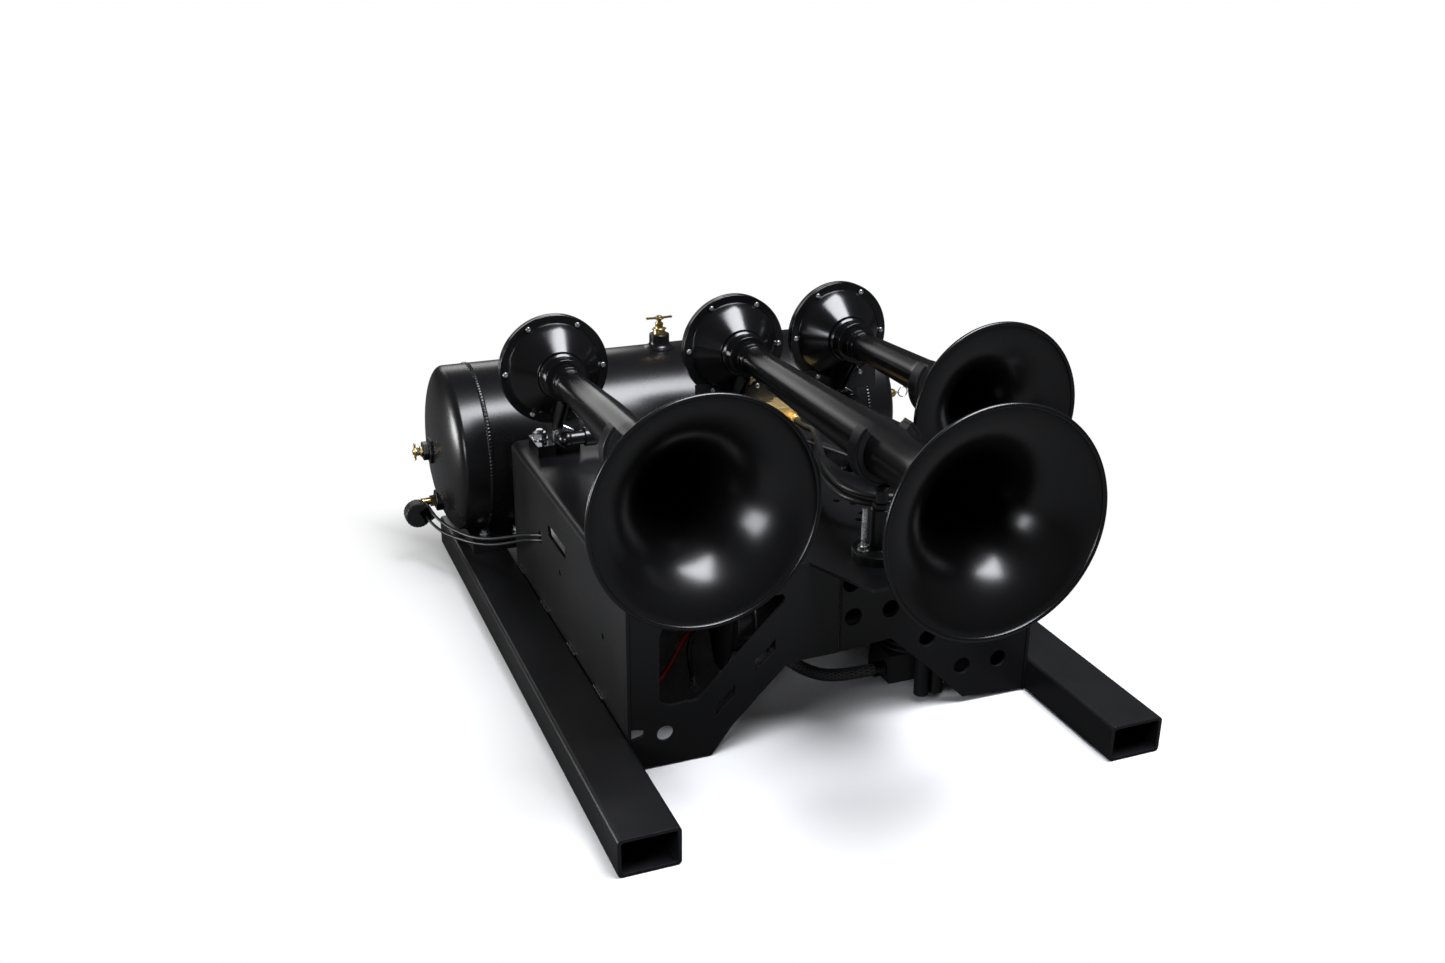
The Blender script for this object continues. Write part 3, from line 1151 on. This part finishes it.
def make_cord(name, route, radius, material, stands_for):
    """A hose or lead on one smooth curve, declared with its real length."""
    curve = bpy.data.curves.new(name, "CURVE")
    curve.dimensions = "3D"
    curve.resolution_u = 10
    curve.bevel_depth = radius
    curve.bevel_resolution = 6
    curve.use_fill_caps = True
    spline = curve.splines.new("NURBS")
    spline.points.add(len(route) - 1)
    points = [Vector((x, FRONT + station, z)) for x, station, z in route]
    for spot, point in zip(spline.points, points):
        spot.co = (*point, 1.0)
    spline.order_u = 3
    spline.use_endpoint_u = True
    curve.materials.append(MATERIALS[material])
    thing = bpy.data.objects.new(name, curve)
    bpy.context.scene.collection.objects.link(thing)
    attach(thing, "skid")
    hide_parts(stands_for)
    curve_length(curve)


def beside(horn, across, up, reach):
    """A point beside a horn's axis as side, station and height."""
    spot = horn_place(horn) @ Vector((across, up, reach))
    return (spot.x, spot.y - FRONT, spot.z)


def make_hoses(horns):
    """The horns' hoses from the valve, the compressor's hose and the leads."""
    hose, braided_hose, switch_lead, power_lead = 0.005, 0.0085, 0.0024, 0.0032
    # The left hose comes to its fitting from the side, level with it
    straight, bend_side, bend_front = 0.030, 0.058, 0.0155
    drop, mouth = -FITTING_DROP, FITTING_LEAD + FITTING_COLLAR
    left, middle, right = (next(horn for horn in horns if horn.name == name) for name in HORNS)
    arm_mouth = FITTING_SIDE + FITTING_ARM + FITTING_COLLAR
    end = beside(left, arm_mouth, drop, FITTING_LEAD)
    near = beside(left, arm_mouth + straight, drop, FITTING_LEAD)
    route = LEFT_HOSE + [(end[0] + bend_side, end[1] - bend_front, end[2]), near, end]
    make_cord("left_hose_rubber", route, hose, "rubber", "left_hose")
    for horn, route, lead in ((middle, MIDDLE_HOSE, 0.028), (right, RIGHT_HOSE, 0.032)):
        route = route + [beside(horn, FITTING_SIDE, drop, mouth + reach) for reach in (lead, 0.0)]
        make_cord(horn.name + "_hose_rubber", route, hose, "rubber", horn.name + "_hose")
    make_cord("compressor_hose_braided", COMPRESSOR_HOSE, braided_hose, "braid", "compressor_hose")
    make_cord("upper_switch_lead", UPPER_LEAD, switch_lead, "lead", "switch_leads")
    make_cord("lower_switch_lead", LOWER_LEAD, switch_lead, "lead", "switch_leads")
    lugs = finish("ring_terminals_plated", Shape().put(softened("ring_terminals", 0.0002)),
                  MATERIALS["zinc"], ["ring_terminals"])
    make_cord("red_power_lead_insulated", RED_LEAD, power_lead, "red", "red_power_lead")
    make_cord("black_power_lead_insulated", BLACK_LEAD, power_lead, "lead", "black_power_lead")


# Stage

def floor_material():
    """Pale floor: it glows white to the camera away from the skid and is dark to every other ray."""
    # About half the skid's width and length, and the shares of them over which the glow sets in
    half_width, half_length, near, far = 0.364, 0.481, 0.9, 1.4
    material, tree, surface = new_material("Studio floor")
    seen = tree.nodes.new("ShaderNodeLightPath").outputs["Is Camera Ray"]
    split = tree.nodes.new("ShaderNodeSeparateXYZ")
    tree.links.new(tree.nodes.new("ShaderNodeTexCoord").outputs["Object"], split.inputs[0])
    surface.inputs["Roughness"].default_value = 0.9
    wide = math_node(tree, "DIVIDE", math_node(tree, "ABSOLUTE", split.outputs["X"]), half_width)
    deep = math_node(tree, "DIVIDE", math_node(tree, "ABSOLUTE", split.outputs["Y"]), half_length)
    open_floor = ramp(tree, math_node(tree, "MAXIMUM", wide, deep), near, far)
    shade = tree.nodes.new("ShaderNodeMix")
    tree.links.new(seen, shade.inputs["Factor"])
    tree.links.new(between(tree, open_floor, 0.02, 0.11), shade.inputs["A"])
    shade.inputs["B"].default_value = 0.86
    tree.links.new(shade.outputs["Result"], surface.inputs["Base Color"])
    glow = tree.nodes.new("ShaderNodeEmission")
    blend = tree.nodes.new("ShaderNodeMixShader")
    tree.links.new(math_node(tree, "MULTIPLY", seen, open_floor), blend.inputs[0])
    tree.links.new(surface.outputs[0], blend.inputs[1])
    tree.links.new(glow.outputs[0], blend.inputs[2])
    tree.links.new(blend.outputs[0], tree.nodes["Material Output"].inputs["Surface"])
    return material


def make_floor():
    form = bmesh.new()
    bmesh.ops.create_grid(form, x_segments=1, y_segments=1, size=30.0)
    mesh = bpy.data.meshes.new("studio_floor")
    form.to_mesh(mesh)
    form.free()
    mesh.materials.append(floor_material())
    floor = bpy.data.objects.new("studio_floor", mesh)
    bpy.context.scene.collection.objects.link(floor)


def make_world():
    """White to the camera and dim to everything else."""
    world = bpy.data.worlds.new("Studio")
    bpy.context.scene.world = world
    world.use_nodes = True
    tree = world.node_tree
    back = tree.nodes["Background"]
    back.inputs["Color"].default_value = (1.0, 1.0, 1.0, 1.0)
    seen = tree.nodes.new("ShaderNodeLightPath").outputs["Is Camera Ray"]
    tree.links.new(between(tree, seen, 0.05, 1.0), back.inputs["Strength"])


def make_lamp(name, place, target, size, power, colour):
    """A rectangular softbox that looks at a point."""
    light = bpy.data.lights.new(name, "AREA")
    light.shape = "RECTANGLE"
    light.size, light.size_y = size
    light.energy = power
    light.color = colour
    thing = bpy.data.objects.new(name, light)
    thing.location = place
    thing.rotation_euler = (Vector(target) - Vector(place)).to_track_quat("-Z", "Y").to_euler()
    bpy.context.scene.collection.objects.link(thing)


def make_camera():
    """The camera that took the photograph, in place, angles and lens."""
    place, yaw, pitch, roll = (-0.74962, -1.73918, 1.00428), 21.95, 21.92, -0.496
    camera = bpy.data.cameras.new("photo_camera")
    camera.sensor_width = 36.0
    camera.lens = 35.77
    camera.clip_end = 100.0
    thing = bpy.data.objects.new("photo_camera", camera)
    thing.matrix_world = (at(*place) @ Matrix.Rotation(math.radians(-yaw), 4, "Z")
                          @ Matrix.Rotation(math.radians(90 - pitch), 4, "X")
                          @ Matrix.Rotation(math.radians(-roll), 4, "Z"))
    bpy.context.scene.collection.objects.link(thing)
    bpy.context.scene.camera = thing


def make_stage():
    """Pale floor, soft studio lights and the camera."""
    make_floor()
    make_world()
    cool, white = (0.93, 0.95, 1.0), (1.0, 1.0, 1.0)
    # Name, place, aim, width and height, power and colour
    for lamp in (("overhead_softbox", (0.48, -0.80, 2.5), (0.0, -0.1, 0.3), (1.6, 1.2), 122.0, cool),
                 ("left_softbox", (-1.07, -0.76, 0.56), (-0.23, -0.38, 0.31), (0.34, 0.36), 5.5, cool),
                 ("left_rear_panel", (-2.4, 1.05, 0.30), (-0.3, 0.3, 0.2), (0.9, 0.5), 30.0, white),
                 ("back_panel", (-0.2, 3.0, 1.2), (0.0, 0.0, 0.4), (2.0, 0.9), 11.0, white)):
        make_lamp(*lamp)
    make_camera()
    bpy.context.scene.view_settings.view_transform = "Standard"


# The add-on

def settings():
    return bpy.context.scene.air_horn_sizes


def horns():
    return bpy.context.scene.air_horn_horns


class AIRHORN_OT_reset(bpy.types.Operator):
    """Fill in the three horns' sizes and make the finishes"""

    bl_idname = "air_horn.reset"
    bl_label = "Sizes and finishes"

    def execute(self, context):
        horns().clear()
        for name, values in HORNS.items():
            horn = horns().add()
            horn.name = name
            for key, value in values.items():
                setattr(horn, key, value)
        make_materials(context.scene.air_horn_finishes)
        return {"FINISHED"}


class AIRHORN_OT_stage(bpy.types.Operator):
    """Set up the floor, the lights and the camera"""

    bl_idname = "air_horn.stage"
    bl_label = "Stage"

    def execute(self, context):
        make_stage()
        return {"FINISHED"}


class AIRHORN_OT_hoses(bpy.types.Operator):
    """Lay the hoses and leads"""

    bl_idname = "air_horn.hoses"
    bl_label = "Hoses and leads"

    def execute(self, context):
        make_hoses(horns())
        return {"FINISHED"}


class AIRHORN_OT_skid(bpy.types.Operator):
    """Coat the rails, the deck and the truss plates, and add their welds"""

    bl_idname = "air_horn.skid"
    bl_label = "Skid"

    def execute(self, context):
        make_skid(settings())
        return {"FINISHED"}


class AIRHORN_OT_tank(bpy.types.Operator):
    """Make the tank's shell, ends, ring welds and foot bolts"""

    bl_idname = "air_horn.tank"
    bl_label = "Tank"

    def execute(self, context):
        make_tank(settings())
        make_foot_bolts()
        return {"FINISHED"}


class AIRHORN_OT_horns(bpy.types.Operator):
    """Spin the trumpets and make their housings, clamps and screws"""

    bl_idname = "air_horn.horns"
    bl_label = "Horns"

    def execute(self, context):
        make_horns(horns(), settings())
        return {"FINISHED"}


class AIRHORN_OT_mounts(bpy.types.Operator):
    """Make the posts, studs, nuts, rear brackets and inlet fittings"""

    bl_idname = "air_horn.mounts"
    bl_label = "Mounts"

    def execute(self, context):
        make_posts(horns(), settings())
        make_brackets(horns(), settings())
        return {"FINISHED"}


class AIRHORN_OT_valve(bpy.types.Operator):
    """Make the brass valve, the cocks, the safety valve and the switch"""

    bl_idname = "air_horn.valve"
    bl_label = "Valve and fittings"

    def execute(self, context):
        make_valve()
        make_fittings()
        make_switch()
        return {"FINISHED"}


class AIRHORN_OT_compressor(bpy.types.Operator):
    """Dress the compressor under the deck"""

    bl_idname = "air_horn.compressor"
    bl_label = "Compressor"

    def execute(self, context):
        make_compressor()
        return {"FINISHED"}


STEPS = (AIRHORN_OT_reset, AIRHORN_OT_stage, AIRHORN_OT_hoses, AIRHORN_OT_skid, AIRHORN_OT_tank,
         AIRHORN_OT_horns, AIRHORN_OT_mounts, AIRHORN_OT_valve, AIRHORN_OT_compressor)


class AIRHORN_PT_panel(bpy.types.Panel):
    """Lists the steps and the sizes"""

    bl_idname = "AIRHORN_PT_panel"
    bl_label = "Air horn"
    bl_space_type = "VIEW_3D"
    bl_region_type = "UI"
    bl_category = "Air horn"

    def draw(self, context):
        for step in STEPS:
            self.layout.operator(step.bl_idname)
        for group in (context.scene.air_horn_sizes, context.scene.air_horn_finishes):
            for name in group.__annotations__:
                self.layout.prop(group, name)


CLASSES = (HornSizes, SharedSizes, Finishes, *STEPS, AIRHORN_PT_panel)


def register():
    for cls in CLASSES:
        bpy.utils.register_class(cls)
    bpy.types.Scene.air_horn_horns = CollectionProperty(type=HornSizes)
    bpy.types.Scene.air_horn_sizes = PointerProperty(type=SharedSizes)
    bpy.types.Scene.air_horn_finishes = PointerProperty(type=Finishes)


def unregister():
    for name in ("air_horn_horns", "air_horn_sizes", "air_horn_finishes"):
        delattr(bpy.types.Scene, name)
    for cls in reversed(CLASSES):
        bpy.utils.unregister_class(cls)


def main():
    register()
    for step in STEPS:
        group, name = step.bl_idname.split(".")
        getattr(getattr(bpy.ops, group), name)()


if __name__ == "__main__":
    main()
